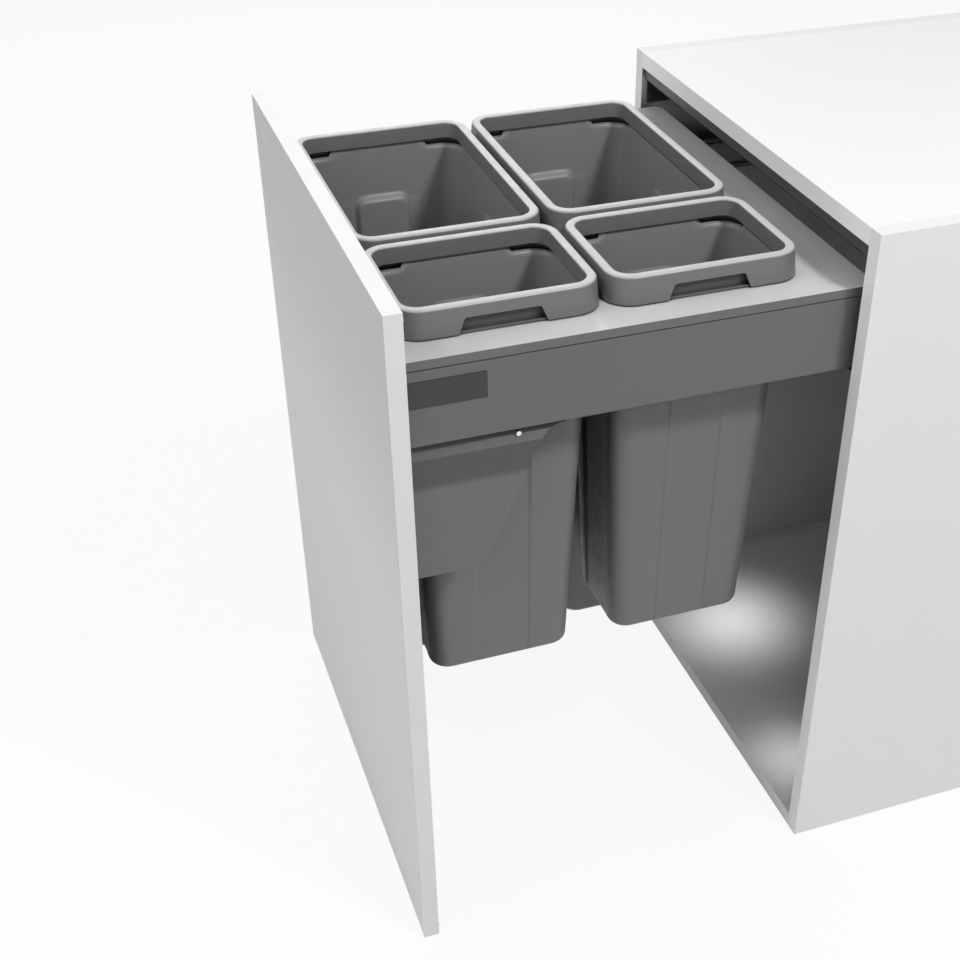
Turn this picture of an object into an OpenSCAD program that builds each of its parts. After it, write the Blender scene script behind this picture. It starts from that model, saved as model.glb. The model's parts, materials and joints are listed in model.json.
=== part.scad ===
// Pull-out waste bin cabinet, drawn out as photographed.
// Millimetres. +Z is up, the front faces -Y and +X is the right-hand side seen from the front.
// The origin is the centre of the cabinet's footprint on the floor.

/* [Cabinet] */
// Outer width of the cabinet
cab_w = 600; // [580:5:640]
// Outer height of the cabinet
cab_h = 820; // [780:5:870]
// Depth of the cabinet without its front
cab_d = 560; // [550:5:600]
// Thickness of the cabinet's boards
board_t = 19; // [16:1:20]
// Thickness of the back panel
back_t = 8; // [5:1:10]
// Distance from the back panel to the boards' rear edges
back_inset = 20; // [12:1:22]
// Diameter of the dowels that join the boards
dowel_d = 8; // [6:1:10]
// Diameter of the two fixing holes in the bottom panel
fixing_hole_d = 10; // [6:1:12]
// Distance of the fixing holes from the cabinet's front edge
fixing_hole_y = 297; // [250:1:400]

/* [Front panel] */
// Thickness of the front panel
front_t = 18; // [16:1:22]
// Reveal between the front panel and the cabinet's outer side, on each side
side_reveal = 1.5; // [1:0.5:3]
// Reveal above the front panel
top_reveal = 3; // [2:0.5:5]
// Height of the front panel's lower edge above the floor
foot_gap = 2; // [1:0.5:6]
// Gap that the closed front panel keeps to the cabinet
close_gap = 2; // [1.8:0.1:3]

/* [Travel] */
// How far the drawer is drawn out here, from closed
drawn_out = 468; // [300:1:480]
// Further travel to the fully open stop
spare_travel = 30; // [10:1:30]

/* [Drawer sides] */
// Gap between the cabinet wall and the drawer side
wall_gap = 9.3; // [8.5:0.1:12]
// Width of the hollow drawer side
side_w = 14.7; // [14.5:0.1:18]
// Height of the drawer side's outer wall
side_h = 80; // [74:1:90]
// Length of the drawer sides
side_l = 490; // [480:1:500]
// Sheet thickness of the drawer sides
sheet_t = 1; // [0.8:0.1:1.2]
// Length of the cover cap on the outer wall
cap_l = 77.5; // [60:0.5:90]
// Height of the cover cap
cap_h = 28; // [20:1:30]

/* [Runners] */
// Length of the rail that is screwed to the cabinet
cabinet_rail_l = 500; // [490:5:510]
// Length of the middle rail and of the drawer rail
moving_rail_l = 480; // [470:5:490]
// Thickness of the rails' steel
rail_t = 1.2; // [1:0.1:1.5]
// Diameter of the bearing balls
ball_d = 3.2; // [3:0.1:3.5]
// Height of the drawer rail
inner_rail_h = 24.5; // [20:0.5:28]
// Length of the ball cages
cage_l = 184; // [140:2:200]
// Balls in each row of a cage
ball_count = 5; // [3:1:7]

/* [Cover frame] */
// Thickness of the cover frame's plate
frame_t = 2.5; // [1.5:0.1:3]
// Depth of the flange round the cover frame
frame_flange = 9.5; // [8:0.5:14]
// Gap between that flange and the drawer side's top
frame_gap = 1; // [0.5:0.1:2]
// Radius of the cover frame's rear corners
frame_r = 12; // [4:1:20]

/* [Bins] */
// Length of each collar from front to back
collar_l = 210; // [190:1:214]
// Width of the two small collars
small_w = 160; // [140:1:165]
// Distance from the cabinet wall to the row of collars, on each side
row_margin = 43; // [40:1:60]
// Gap between the small and the large collars
middle_gap = 5; // [3:0.5:12]
// Gap between the front and the rear collars
collar_gap = 3; // [2:0.5:12]
// Distance from the front panel to the first collar
front_margin = 7; // [6:0.5:14]
// Depth of the small bins below the cover frame
small_drop = 421; // [350:1:540]
// Depth of the large bins below the cover frame
large_drop = 526; // [350:1:540]
// Wall thickness of the bins
bin_wall = 2.2; // [1.8:0.1:2.6]
// Draft of the bins' side walls in degrees
bin_draft = 1.7; // [1:0.1:2.5]
// Draft of the bins' front and rear walls in degrees
bin_end_draft = 2.3; // [1:0.1:3]
// Radius of the bins' bottom edge
bin_fillet = 8; // [4:1:12]
// Width of the panel pressed into each wall of the bins
panel_w = 60; // [40:1:80]
// Depth of that panel
panel_depth = 1.5; // [1:0.5:4]
// Depth of the panel in the large bins' far wall
deep_panel = 7; // [2:0.5:9]

/* [Collars] */
// Height of the collars above the cover frame
collar_h = 30; // [26:1:30]
// Width of the collars' rounded top
collar_band = 10.5; // [10:0.5:14]
// Outer corner radius of the collars
collar_r = 30; // [26:1:34]
// Width of the finger cut-out at its foot
grip_w = 89; // [60:1:100]
// Height of the finger cut-out
grip_h = 16.5; // [12:0.5:18]

/* [Fixed lid] */
// Gap between the top panel and the fixed lid
lid_gap = 2; // [1:0.5:4]
// Height of the fixed lid's flange
lid_h = 11; // [8:1:14]
// Length of the fixed lid from front to back
lid_l = 497; // [480:1:510]
// Sheet thickness of the fixed lid
lid_t = 1.5; // [1:0.1:2]
// How far the rubber seal hangs below the lid's flange
seal_drop = 4.5; // [2:0.5:6]
// Clearance between the collars' top and the seal
seal_gap = 1; // [0.8:0.1:3]

/* [Front fixings] */
// Thickness of the brackets that hold the front panel
bracket_t = 2; // [1.5:0.1:2.5]
// Sheet thickness of the braces under the drawer sides
brace_t = 1.6; // [1.2:0.1:2]
// Height of the brace below its crease
brace_h = 138; // [110:1:150]
// Length of the brace along its foot
brace_foot_l = 76; // [50:1:80]
// Length of the brace along its top
brace_top_l = 165; // [140:1:180]

/* [Hidden] */
$fn = 48;

// Clearances and overruns
cut = 1;
seat_gap = 0.3;
bore_fit = 0.05;
slide_gap = 0.3;

// Cabinet places
front_y = -cab_d / 2;
wall_x = cab_w / 2 - board_t;
ceiling_z = cab_h - board_t;
groove_depth = 7;
back_y = cab_d - back_inset - back_t;
dowel_end_l = 22;
dowel_side_l = board_t * 0.6;
dowel_front_y = 60;
dowel_rear_y = back_y - 40;
dowel_ys = [dowel_front_y, (dowel_front_y + dowel_rear_y) / 2, dowel_rear_y];
fixing_wall_gap = 21;

// Heights, worked out downwards from the ceiling of the cabinet
lid_top_z = ceiling_z - lid_gap;
lid_z = lid_top_z - lid_h;
seal_z = lid_z - seal_drop;
collar_top_z = seal_z - seal_gap;
frame_z = collar_top_z - collar_h;
side_top_z = frame_z - frame_flange - frame_gap;
side_z = side_top_z - side_h;

// Front panel and drawer along Y, counted from the cabinet's front edge
panel_back_y = -(drawn_out + close_gap);
drawer_y = panel_back_y + bracket_t;
drawer_end_y = drawer_y + side_l;
front_w = cab_w - 2 * side_reveal;
front_h = cab_h - foot_gap - top_reveal;
bumper_d = 8;
bumper_t = 1.5;
bumper_inset = board_t / 2 - side_reveal;

// Drawer side across, counted inwards from the cabinet wall
side_u = wall_gap;
hollow_u = side_u + sheet_t;
side_end_u = side_u + side_w;
inner_wall_u = side_end_u - sheet_t;
inner_wall_drop = 9.5;
inner_skirt_drop = 16;
inner_flange_w = 11;
cap_front_gap = 4;
cap_proud = 0.6;
cap_t = 1.4;
cap_top_drop = 11;
cap_z = side_top_z - cap_top_drop - cap_h;
cap_y = drawer_y + cap_front_gap;
cap_corner_r = 1.5;

// Rails: a rail on the cabinet, a middle rail and a rail on the drawer, with balls between
rail_play = 0.7;
ball_play = 0.05;
ball_space = ball_d + 2 * ball_play;
rail_drop = 3.5;
rail_z = side_z - rail_drop;
middle_z = rail_z + rail_t + ball_space;
inner_rail_z = middle_z + rail_t + ball_space;
inner_rail_top_z = inner_rail_z + inner_rail_h;
middle_top_z = inner_rail_top_z + ball_space + rail_t;
rail_top_z = middle_top_z + ball_space + rail_t;
wall_flange_t = 1.5;
wall_flange_h = 31.5;
cage_web_t = 0.6;
cage_strip_t = 1;
web_u = hollow_u + rail_play;
outer_cage_u = web_u + rail_t + slide_gap;
middle_u = outer_cage_u + cage_web_t + slide_gap;
inner_cage_u = middle_u + rail_t + slide_gap;
inner_flange_u = inner_cage_u + cage_web_t + slide_gap;
leg_end_gap = 4.5;
rail_leg_u = inner_wall_u - leg_end_gap;
middle_leg_gap = 2;
middle_leg_u = inner_wall_u - middle_leg_gap;
strip_margin = 0.5;
outer_strip_u = rail_leg_u - strip_margin;
inner_strip_u = middle_leg_u - strip_margin;
outer_ball_u = (middle_u + rail_leg_u) / 2;
inner_ball_u = (inner_flange_u + middle_leg_u) / 2;
rail_front_gap = 3;
rail_y = rail_front_gap;
closed_rail_gap = 5;
middle_share = 0.5;
outer_cage_share = 0.25;
inner_cage_share = 0.75;
middle_y = closed_rail_gap - drawn_out * middle_share;
drawer_rail_y = closed_rail_gap - drawn_out;
cage_closed_y = closed_rail_gap + moving_rail_l / 2 - cage_l / 2;
outer_cage_y = cage_closed_y - drawn_out * outer_cage_share;
inner_cage_y = cage_closed_y - drawn_out * inner_cage_share;
rail_screw_y_shares = [0.08, 0.5, 0.9];
soft_close_l = 90;
soft_close_h = 18;
soft_close_u = 1;
soft_close_w = 16;
soft_close_r = 4;
soft_close_rear_gap = 12;

// Screws
screw_head_r = 3.4;
screw_head_h = 1.8;
screw_r = 1.75;
screw_l = 13;
cross_w = 0.8;
cross_l = 4;
cross_depth = 1;
small_screw_r = 1.5;
small_head_r = 3;
small_head_h = 1.6;
bolt_r = 2.5;
bolt_head_r = 4.5;
bolt_head_h = 2;
rivet_r = 1.6;
rivet_head_r = 2.6;
rivet_head_h = 1.2;

// Brackets that hold the front panel
bracket_u = hollow_u + 0.5 * sheet_t;
bracket_side_gap = 0.5;
bracket_end_u = inner_wall_u - bracket_side_gap;
bracket_rail_gap = 2;
bracket_z = rail_top_z + bracket_rail_gap;
bracket_top_z = side_top_z - sheet_t - 2 * bracket_side_gap;
tongue_l = 92;
bracket_screw_inset = 6;
bracket_screw_zs = [bracket_z + bracket_screw_inset, bracket_top_z - bracket_screw_inset];
bracket_screw_u = (bracket_u + bracket_t + bracket_end_u) / 2;
bolt_inset = 24;
bolt_z = (bracket_z + bracket_top_z) / 2;

// Braces below the drawer sides
brace_u = side_u + 2.7 * sheet_t;
crease_drop = 18;
crease_z = side_z - crease_drop;
brace_z = crease_z - brace_h;
tab_gap = 0.2;
tab_u = inner_wall_u - tab_gap - brace_t;
tab_foot_drop = 5.5;
tab_foot_z = side_z - tab_foot_drop;
tab_top_z = side_z - 1.2;
brace_flange_w = 22;
brace_flange_inset = 7;
brace_corner_r = 18;
brace_hollow_r = 39;
brace_neck_share = 0.21;
brace_screw_u = brace_u + brace_t + 12;
brace_screw_shares = [0.15, 0.48, 0.81];
rivet_drop = 9.5;
rivet_y_share = 0.69;
rivet_u = 14.8;
rivet_y = drawer_y + brace_top_l * rivet_y_share;

// Back of the drawer
back_plate_t = 1.2;
back_tab_l = 15;
back_rim = 12;
back_foot_z = side_z - inner_wall_drop + sheet_t + seat_gap;
back_screw_y = drawer_end_y - 3 - back_tab_l / 2;
back_plate_y = drawer_end_y - 3;
back_screw_drops = [12, 32];

// Cover frame
flange_t = 1.5;
lip_t = 1.5;
lip_h = 6;
rib_w = 5;
rib_u = bracket_screw_u - rib_w / 2;
rib_end_gap = 2;
frame_screw_shares = [0.14, 0.6, 0.92];
frame_screw_up = 5;

// Bins and collars
body_inset = 8.5;
bin_r = collar_r - body_inset;
hole_play = 1;
skirt_t = 2.2;
skirt_draft = 2.5;
collar_fillet = 3;
collar_inner_fillet = 2;
collar_roof_t = 3;
inner_skirt_t = 2;
inner_skirt_h = 18.5;
rim_t = 2.8;
rim_z = frame_z + seat_gap;
foot_up = 1;
foot_z = frame_z + foot_up;
upstand_z = collar_top_z - collar_roof_t - seat_gap;
upstand_slant = 8;
notch_side_l = 46;
notch_end_l = 32;
notch_reach = 12;
notch_up = 0.4;
panel_r = 10;
panel_steps = 6;
panel_drop = 41.5;
panel_top_z = frame_z - panel_drop;
bin_floor_t = 3;
slice_t = 0.05;
hull_fn = 32;
fillet_steps = 4;
grip_top_inset = 5.5;
grip_r = 4;
row_w = 2 * (wall_x - row_margin);
large_w = row_w - small_w - middle_gap;
small_x = row_w / 2 - small_w / 2;
large_x = -row_w / 2 + large_w / 2;
front_bin_y = panel_back_y + front_margin + collar_l / 2;
rear_bin_y = front_bin_y + collar_l + collar_gap;

// Fixed lid
lid_side_gap = 2.5;
lid_y = 3;
seal_t = 4;
seal_side_inset = 19;
seal_front_inset = 4;
lid_bracket_l = 40;
lid_bracket_h = 32;
lid_bracket_leg = 14;
lid_bracket_y = 8;
lid_bracket_rear_y = lid_y + lid_l - lid_bracket_l - 5;
clip_w = 3;
clip_t = 0.8;
clip_arm = 5;
clip_drop = 19;
lid_screw_ys = [10, 25];
lid_screw_up = 7;

// A mirrored pair is drawn once, in distances from the cabinet wall inwards
module on_left() translate([-wall_x, front_y, 0]) children();

module on_right() translate([wall_x, front_y, 0]) mirror([1, 0, 0]) children();

module from_front() translate([0, front_y, 0]) children();

// Outline of a rectangle with round corners
module round_rect(w, l, r) {
    square([w - 2 * r, l], center = true);
    square([w, l - 2 * r], center = true);
    for (x = [-1, 1], y = [-1, 1])
        translate([x * (w / 2 - r), y * (l / 2 - r)]) circle(r);
}

// A profile across and up, drawn out along Y from y0
module along_y(y0, l) translate([0, y0 + l, 0]) rotate([90, 0, 0]) linear_extrude(l) children();

// A profile along Y and Z, drawn out along X from x0
module along_x(x0, l) translate([x0, 0, 0]) rotate([90, 0, 90]) linear_extrude(l) children();

module bar(u, z, w, h) translate([u, z]) square([w, h]);

// A screw along +Z: the head's underside is at z 0 and the shank points down
module screw(head_r, head_h, r, l) {
    difference() {
        cylinder(r = head_r, h = head_h);
        for (a = [0, 90])
            rotate([0, 0, a])
                translate([-cross_l / 2, -cross_w / 2, head_h - cross_depth])
                    cube([cross_l, cross_w, cross_depth + cut]);
    }
    translate([0, 0, -l]) cylinder(r = r, h = l);
}

module wall_screw() rotate([0, 90, 0]) screw(screw_head_r, screw_head_h, screw_r, screw_l);

module panel_screw() rotate([-90, 0, 0]) screw(screw_head_r, screw_head_h, screw_r, screw_l);

// Cabinet
module dowel_bores(x0, l) {
    for (y = dowel_ys, z = [board_t / 2, cab_h - board_t / 2])
        translate([x0, y, z]) rotate([0, 90, 0]) cylinder(d = dowel_d + 2 * bore_fit, h = l);
}

// The side panel, in distances from the cabinet wall: its board lies at negative distances
module side_panel() {
    difference() {
        translate([-board_t, 0, 0]) cube([board_t, cab_d, cab_h]);
        translate([-groove_depth, back_y - bore_fit, board_t - groove_depth])
            cube([groove_depth + cut, back_t + 2 * bore_fit, ceiling_z - board_t + 2 * groove_depth]);
        dowel_bores(-dowel_side_l, dowel_side_l + cut);
        for (p = rail_screw_places()) translate([-screw_l - seat_gap, p[0], p[1]]) rotate([0, 90, 0])
            cylinder(r = screw_r + bore_fit, h = screw_l + cut);
        for (p = lid_screw_places()) translate([-screw_l - seat_gap, p[0], p[1]]) rotate([0, 90, 0])
            cylinder(r = screw_r + bore_fit, h = screw_l + cut);
    }
}

module side_panel_left() color("gainsboro") on_left() side_panel();

module side_panel_right() color("gainsboro") on_right() side_panel();

module end_board(z, groove_z) {
    difference() {
        translate([-wall_x, 0, z]) cube([2 * wall_x, cab_d, board_t]);
        translate([-wall_x - cut, back_y - bore_fit, groove_z])
            cube([2 * wall_x + 2 * cut, back_t + 2 * bore_fit, groove_depth + cut]);
        dowel_bores(-wall_x - cut, dowel_end_l + cut + seat_gap);
        dowel_bores(wall_x - dowel_end_l - seat_gap, dowel_end_l + cut + seat_gap);
    }
}

module top_panel() color("gainsboro") from_front() end_board(ceiling_z, ceiling_z - cut);

module bottom_panel() color("gainsboro") from_front() difference() {
    end_board(0, board_t - groove_depth);
    for (x = [-1, 1]) translate([x * (wall_x - fixing_wall_gap), fixing_hole_y, -cut])
        cylinder(d = fixing_hole_d, h = board_t + 2 * cut);
}

module back_panel() color("lightgray") from_front() {
    reach = groove_depth - seat_gap;
    translate([-wall_x - reach, back_y, board_t - reach])
        cube([2 * (wall_x + reach), back_t, ceiling_z - board_t + 2 * reach]);
}

module carcass_dowels() color("burlywood") {
    for (s = [0, 1]) mirror([s, 0, 0]) from_front()
        for (y = dowel_ys, z = [board_t / 2, cab_h - board_t / 2])
            translate([wall_x - dowel_end_l, y, z]) rotate([0, 90, 0])
                cylinder(d = dowel_d, h = dowel_end_l + dowel_side_l - seat_gap);
}

// Fixed lid under the top panel
module lid_plate() color([0.36, 0.36, 0.37]) from_front() {
    w = 2 * (wall_x - lid_side_gap);
    difference() {
        translate([-w / 2, lid_y, lid_z]) cube([w, lid_l, lid_h]);
        translate([-w / 2 + lid_t, lid_y + lid_t, lid_z - cut])
            cube([w - 2 * lid_t, lid_l - 2 * lid_t, lid_h - lid_t + cut]);
    }
}

module lid_seal() color([0.12, 0.12, 0.12]) from_front() {
    w = 2 * (wall_x - seal_side_inset);
    l = lid_l - 2 * seal_front_inset;
    y = lid_y + seal_front_inset;
    h = lid_h + seal_drop - lid_t;
    difference() {
        translate([-w / 2, y, seal_z]) cube([w, l, h]);
        translate([-w / 2 + seal_t, y + seal_t, seal_z - cut])
            cube([w - 2 * seal_t, l - 2 * seal_t, h + 2 * cut]);
    }
}

function lid_screw_places() = [
    for (y = [lid_bracket_y, lid_bracket_rear_y], dy = lid_screw_ys)
        [y + dy, lid_z - lid_bracket_h + lid_screw_up]
];

module lid_bracket(y) {
    difference() {
        union() {
            translate([0, y, lid_z - lid_bracket_h]) cube([lid_t, lid_bracket_l, lid_bracket_h]);
            translate([0, y, lid_z - lid_t]) cube([lid_bracket_leg, lid_bracket_l, lid_t]);
        }
        for (dy = lid_screw_ys) translate([-cut, y + dy, lid_z - lid_bracket_h + lid_screw_up])
            rotate([0, 90, 0]) cylinder(r = screw_r + bore_fit, h = lid_t + 2 * cut);
    }
}

module lid_bracket_front_left() color("silver") on_left() lid_bracket(lid_bracket_y);

module lid_bracket_front_right() color("silver") on_right() lid_bracket(lid_bracket_y);

module lid_bracket_rear_left() color("silver") on_left() lid_bracket(lid_bracket_rear_y);

module lid_bracket_rear_right() color("silver") on_right() lid_bracket(lid_bracket_rear_y);

// A bent spring clip on the bracket's inner face, holding the lid's flange down
module lid_clip(y) {
    foot = [y, lid_z - clip_drop];
    bend = clip_arm * 0.6;
    along_x(lid_t, clip_w) polygon([
        foot, foot + [clip_arm, clip_arm], foot + [clip_arm, clip_arm - clip_t * sqrt(2)],
        foot - [0, clip_t * sqrt(2)], foot + [-bend, bend - clip_t * sqrt(2)], foot + [-bend, bend]
    ]);
}

module lid_clips() color("whitesmoke") {
    for (y = [lid_bracket_y, lid_bracket_rear_y]) {
        on_left() lid_clip(y + clip_arm);
        on_right() lid_clip(y + clip_arm);
    }
}

module lid_screws() color("silver") {
    for (p = lid_screw_places()) {
        on_left() translate([lid_t, p[0], p[1]]) wall_screw();
        on_right() translate([lid_t, p[0], p[1]]) wall_screw();
    }
}

// Runners
function rail_screw_places() = [
    for (share = rail_screw_y_shares)
        [rail_y + cabinet_rail_l * share, rail_z + wall_flange_h * 0.6]
];

module cabinet_rail() {
    difference() {
        along_y(rail_y, cabinet_rail_l) {
            bar(0, rail_z, wall_flange_t, wall_flange_h);
            bar(0, rail_z, rail_leg_u, rail_t);
            bar(web_u, rail_z, rail_t, rail_top_z - rail_z);
            bar(web_u, rail_top_z - rail_t, rail_leg_u - web_u, rail_t);
        }
        for (p = rail_screw_places()) translate([-cut, p[0], p[1]]) rotate([0, 90, 0])
            cylinder(r = screw_r + bore_fit, h = wall_flange_t + 2 * cut);
    }
}

module cabinet_rail_left() color("silver") on_left() cabinet_rail();

module cabinet_rail_right() color("silver") on_right() cabinet_rail();

module rail_screws() color("silver") {
    for (p = rail_screw_places()) {
        on_left() translate([wall_flange_t, p[0], p[1]]) wall_screw();
        on_right() translate([wall_flange_t, p[0], p[1]]) wall_screw();
    }
}

module soft_close() {
    y = rail_y + cabinet_rail_l - soft_close_rear_gap - soft_close_l;
    z = rail_z - soft_close_h;
    along_x(soft_close_u, soft_close_w) {
        translate([y + soft_close_l / 2, z + soft_close_h / 2])
            round_rect(soft_close_l, soft_close_h, soft_close_r);
        translate([y, z + soft_close_h / 2]) square([soft_close_l, soft_close_h / 2]);
    }
}

module soft_close_left() color("dimgray") on_left() soft_close();

module soft_close_right() color("dimgray") on_right() soft_close();

module middle_rail() {
    along_y(middle_y, moving_rail_l) {
        bar(middle_u, middle_z, rail_t, middle_top_z - middle_z);
        bar(middle_u, middle_z, middle_leg_u - middle_u, rail_t);
        bar(middle_u, middle_top_z - rail_t, middle_leg_u - middle_u, rail_t);
    }
}

module middle_rail_left() color("silver") on_left() middle_rail();

module middle_rail_right() color("silver") on_right() middle_rail();

module drawer_rail() {
    along_y(drawer_rail_y, moving_rail_l) {
        bar(inner_wall_u - rail_t, inner_rail_z, rail_t, inner_rail_h);
        bar(inner_flange_u, inner_rail_z, inner_wall_u - inner_flange_u, rail_t);
        bar(inner_flange_u, inner_rail_top_z - rail_t, inner_wall_u - inner_flange_u, rail_t);
    }
}

module drawer_rail_left() color("silver") on_left() drawer_rail();

module drawer_rail_right() color("silver") on_right() drawer_rail();

function ball_ys(y0) = [for (i = [0 : ball_count - 1]) y0 + cage_l * (i + 0.5) / ball_count];

// A cage of two strips on a thin web, with a hole for each ball
module cage(u, end_u, ball_u, y0, low_z, high_z) {
    strip_up = (ball_space - cage_strip_t) / 2;
    difference() {
        along_y(y0, cage_l) {
            bar(u, low_z + strip_up, cage_web_t, high_z + strip_up + cage_strip_t - low_z - strip_up);
            bar(u, low_z + strip_up, end_u - u, cage_strip_t);
            bar(u, high_z + strip_up, end_u - u, cage_strip_t);
        }
        for (y = ball_ys(y0), z = [low_z, high_z]) translate([ball_u, y, z])
            cylinder(d = ball_d + 2 * bore_fit, h = ball_space);
    }
}

module outer_cage()
    cage(outer_cage_u, outer_strip_u, outer_ball_u, outer_cage_y, rail_z + rail_t, middle_top_z);

module inner_cage()
    cage(inner_cage_u, inner_strip_u, inner_ball_u, inner_cage_y, middle_z + rail_t, inner_rail_top_z);

module outer_cage_left() color("goldenrod") on_left() outer_cage();

module outer_cage_right() color("goldenrod") on_right() outer_cage();

module inner_cage_left() color("goldenrod") on_left() inner_cage();

module inner_cage_right() color("goldenrod") on_right() inner_cage();

module balls(u, y0, low_z, high_z) {
    for (y = ball_ys(y0), z = [low_z, high_z]) translate([u, y, z + ball_space / 2]) sphere(d = ball_d);
}

module outer_balls() color("lightsteelblue") {
    on_left() balls(outer_ball_u, outer_cage_y, rail_z + rail_t, middle_top_z);
    on_right() balls(outer_ball_u, outer_cage_y, rail_z + rail_t, middle_top_z);
}

module inner_balls() color("lightsteelblue") {
    on_left() balls(inner_ball_u, inner_cage_y, middle_z + rail_t, inner_rail_top_z);
    on_right() balls(inner_ball_u, inner_cage_y, middle_z + rail_t, inner_rail_top_z);
}

// Drawer sides
module cap_outline(grow) {
    translate([cap_y + cap_l / 2, cap_z + cap_h / 2])
        round_rect(cap_l + 2 * grow, cap_h + 2 * grow, cap_corner_r + grow);
}

function back_screw_zs() = [for (d = back_screw_drops) side_top_z - d];

function frame_screw_ys() = [for (share = frame_screw_shares) drawer_y + side_l * share];

module drawer_side() {
    y0 = drawer_y + seat_gap;
    l = side_l - seat_gap;
    difference() {
        union() {
            along_y(y0, l) {
                bar(side_u, side_z, sheet_t, side_h);
                bar(side_u, side_top_z - sheet_t, side_w, sheet_t);
                bar(inner_wall_u, side_z - inner_wall_drop, sheet_t, side_h + inner_wall_drop);
                bar(inner_wall_u, side_z - inner_wall_drop, inner_flange_w, sheet_t);
            }
            along_y(y0, brace_top_l) bar(inner_wall_u, side_z - inner_skirt_drop, sheet_t, inner_skirt_drop);
        }
        along_x(side_u - cut, sheet_t + 2 * cut) cap_outline(bore_fit + cap_t / 10);
        for (z = back_screw_zs()) translate([inner_wall_u - cut, back_screw_y, z]) rotate([0, 90, 0])
            cylinder(r = small_screw_r + bore_fit, h = sheet_t + 2 * cut);
        for (y = frame_screw_ys()) translate([bracket_screw_u, y, side_top_z - sheet_t - cut])
            cylinder(r = small_screw_r + bore_fit, h = sheet_t + 2 * cut);
        translate([inner_wall_u - cut, rivet_y, side_z - rivet_drop]) rotate([0, 90, 0])
            cylinder(r = rivet_r + bore_fit, h = sheet_t + 2 * cut);
        for (y = bolt_ys()) translate([inner_wall_u - cut, y, bolt_z]) rotate([0, 90, 0])
            cylinder(r = bolt_r + bore_fit, h = sheet_t + 2 * cut);
    }
}

module drawer_side_left() color([0.42, 0.42, 0.43]) on_left() drawer_side();

module drawer_side_right() color([0.42, 0.42, 0.43]) on_right() drawer_side();

module cover_cap() {
    along_x(side_u - cap_proud, cap_t) cap_outline(0);
    peg_l = bracket_u - (side_u - cap_proud + cap_t) - bore_fit;
    for (y = bolt_ys()) translate([side_u - cap_proud + cap_t, y, cap_z + cap_h / 2])
        rotate([0, 90, 0]) cylinder(r = bolt_r, h = peg_l);
}

module cover_cap_left() color([0.27, 0.27, 0.28]) on_left() cover_cap();

module cover_cap_right() color([0.27, 0.27, 0.28]) on_right() cover_cap();

function bolt_ys() = [drawer_y + bolt_inset, drawer_y + tongue_l - bolt_inset];

module front_bracket() {
    difference() {
        union() {
            translate([bracket_u, panel_back_y, inner_rail_z])
                cube([bracket_end_u - bracket_u, bracket_t, bracket_top_z - inner_rail_z]);
            translate([bracket_u, panel_back_y, bracket_z])
                cube([bracket_t, bracket_t + tongue_l, bracket_top_z - bracket_z]);
        }
        for (z = bracket_screw_zs) translate([bracket_screw_u, panel_back_y - cut, z]) rotate([-90, 0, 0])
            cylinder(r = screw_r + bore_fit, h = bracket_t + 2 * cut);
        for (y = bolt_ys()) translate([bracket_u - cut, y, bolt_z]) rotate([0, 90, 0])
            cylinder(r = bolt_r + bore_fit, h = bracket_t + 2 * cut);
    }
}

module front_bracket_left() color("silver") on_left() front_bracket();

module front_bracket_right() color("silver") on_right() front_bracket();

module bracket_bolt(y) {
    translate([side_end_u, y, bolt_z]) rotate([0, 90, 0]) cylinder(r = bolt_head_r, h = bolt_head_h);
    translate([bracket_u, y, bolt_z]) rotate([0, 90, 0]) cylinder(r = bolt_r, h = side_end_u - bracket_u);
}

module bracket_bolts() color("silver") {
    for (y = bolt_ys()) {
        on_left() bracket_bolt(y);
        on_right() bracket_bolt(y);
    }
}

// Brace: outline along Y and Z, with an arc at its lower corner and a hollow curve under the drawer side
function arc(centre, r, a0, a1, n) = [
    for (i = [0 : n]) centre + r * [cos(a0 + (a1 - a0) * i / n), sin(a0 + (a1 - a0) * i / n)]
];

module brace_outline() {
    y0 = panel_back_y;
    foot_y = y0 + brace_foot_l;
    end_y = y0 + brace_top_l;
    slope_y = end_y - brace_hollow_r;
    neck_z = crease_z - brace_h * brace_neck_share;
    slope_a = atan2(neck_z - brace_z, slope_y - foot_y);
    turn = 90 - slope_a / 2;
    tangent = brace_corner_r / tan(turn);
    polygon(concat(
        [[y0, brace_z]],
        arc([foot_y - tangent, brace_z + brace_corner_r], brace_corner_r, -90, slope_a - 90, 8),
        [[slope_y, neck_z]],
        arc([end_y, neck_z], brace_hollow_r, 180, 90, 12),
        [[end_y, tab_top_z], [y0, tab_top_z]]
    ));
}

// Across, the plate runs straight up to its crease, leans in and ends in an upright tab
module brace() {
    mitre = brace_t * tan(atan2(tab_u - brace_u, tab_foot_z - crease_z) / 2);
    difference() {
        union() {
            intersection() {
                along_y(panel_back_y, brace_top_l) {
                    bar(brace_u, brace_z, brace_t, crease_z - brace_z);
                    polygon([
                        [brace_u, crease_z], [brace_u + brace_t, crease_z - mitre],
                        [tab_u + brace_t, tab_foot_z - mitre], [tab_u + brace_t, tab_foot_z],
                        [tab_u, tab_foot_z]
                    ]);
                    bar(tab_u, tab_foot_z, brace_t, tab_top_z - tab_foot_z);
                }
                along_x(brace_u - cut, side_end_u) brace_outline();
            }
            translate([brace_u, panel_back_y, brace_z + brace_flange_inset])
                cube([brace_flange_w, brace_t, brace_h - 2 * brace_flange_inset]);
        }
        for (z = brace_screw_zs()) translate([brace_screw_u, panel_back_y - cut, z]) rotate([-90, 0, 0])
            cylinder(r = screw_r + bore_fit, h = brace_t + 2 * cut);
        translate([rivet_u, rivet_y, side_z - rivet_drop]) rotate([0, 90, 0])
            cylinder(r = rivet_r + bore_fit, h = side_end_u - rivet_u);
    }
}

function brace_screw_zs() = [for (share = brace_screw_shares) brace_z + brace_h * share];

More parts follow.
